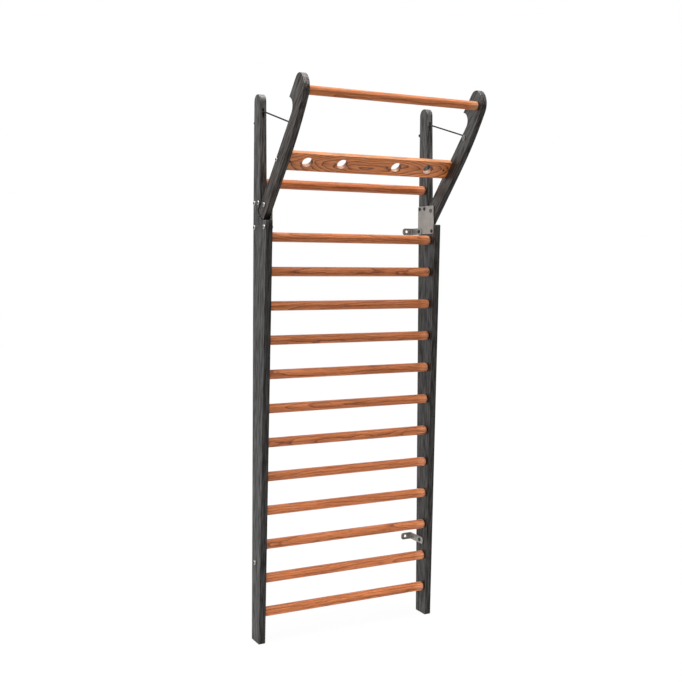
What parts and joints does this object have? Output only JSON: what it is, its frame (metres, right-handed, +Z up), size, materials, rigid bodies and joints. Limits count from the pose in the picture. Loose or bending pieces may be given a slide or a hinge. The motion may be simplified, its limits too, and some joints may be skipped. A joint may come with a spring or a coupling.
{
  "type": "swedish wall bars",
  "caption": "Wall-fixed exercise ladder with round wooden rungs between dark uprights and a folding pull-up frame with a bar, a drilled grip board and wire stays.",
  "frame": {"origin": "on the wall plane at floor level, midway between the uprights", "axes": "+Z up along the uprights, +Y into the wall, +X to the right of someone facing the bars"},
  "size_m": [0.7456, 0.4689, 2.0251],
  "materials": {
    "stained_ash": "dark grey stain, satin",
    "rung_wood": "oiled reddish wood, satin",
    "board_wood": "oiled orange-brown wood, satin",
    "plate_steel": "satin zinc",
    "strip_steel": "satin zinc",
    "bolt_steel": "bright zinc",
    "dark_steel": "black oxide",
    "cable_steel": "stranded wire rope",
    "bush_brass": "plain"
  },
  "bodies": {
    "frame": {"upright_left": "stained_ash", "hinge_plate_left": "plate_steel", "upper_wall_bracket_left": "strip_steel", "lower_wall_bracket_left": "strip_steel", "plate_top_rear_bolt_left": "bolt_steel", "plate_top_rear_nut_left": "dark_steel", "plate_top_middle_bolt_left": "bolt_steel", "plate_top_middle_nut_left": "dark_steel", "plate_foot_rear_bolt_left": "bolt_steel", "plate_foot_rear_nut_left": "dark_steel", "plate_foot_front_bolt_left": "bolt_steel", "plate_foot_front_nut_left": "dark_steel", "lower_bracket_bolt_left": "bolt_steel", "lower_bracket_nut_left": "dark_steel", "pivot_rivet_left": "bolt_steel", "stay_stop_left": "dark_steel", "stay_cable_left": "cable_steel", "upright_right": "stained_ash", "hinge_plate_right": "plate_steel", "upper_wall_bracket_right": "strip_steel", "lower_wall_bracket_right": "strip_steel", "plate_top_rear_bolt_right": "bolt_steel", "plate_top_rear_nut_right": "dark_steel", "plate_top_middle_bolt_right": "bolt_steel", "plate_top_middle_nut_right": "dark_steel", "plate_foot_rear_bolt_right": "bolt_steel", "plate_foot_rear_nut_right": "dark_steel", "plate_foot_front_bolt_right": "bolt_steel", "plate_foot_front_nut_right": "dark_steel", "lower_bracket_bolt_right": "bolt_steel", "lower_bracket_nut_right": "dark_steel", "pivot_rivet_right": "bolt_steel", "stay_stop_right": "dark_steel", "stay_cable_right": "cable_steel", "rung_01": "rung_wood", "rung_02": "rung_wood", "rung_03": "rung_wood", "rung_04": "rung_wood", "rung_05": "rung_wood", "rung_06": "rung_wood", "rung_07": "rung_wood", "rung_08": "rung_wood", "rung_09": "rung_wood", "rung_10": "rung_wood", "rung_11": "rung_wood", "rung_12": "rung_wood", "rung_13": "rung_wood"},
    "pull_up_frame": {"arm_left": "stained_ash", "pivot_bush_left": "bush_brass", "stay_anchor_left": "dark_steel", "board_bolt_left": "bolt_steel", "barrel_nut_left": "dark_steel", "arm_right": "stained_ash", "pivot_bush_right": "bush_brass", "stay_anchor_right": "dark_steel", "board_bolt_right": "bolt_steel", "barrel_nut_right": "dark_steel", "pull_up_bar": "rung_wood", "grip_board": "board_wood"}
  },
  "joints": [
    {"name": "pull_up_fold", "type": "hinge", "parent": "frame", "child": "pull_up_frame", "pos_m": [0, -0.13729, 1.6012], "axis": [-1, 0, 0], "range_deg": [0, 42], "deforming": ["stay_cable_left", "stay_cable_right"]}
  ]
}
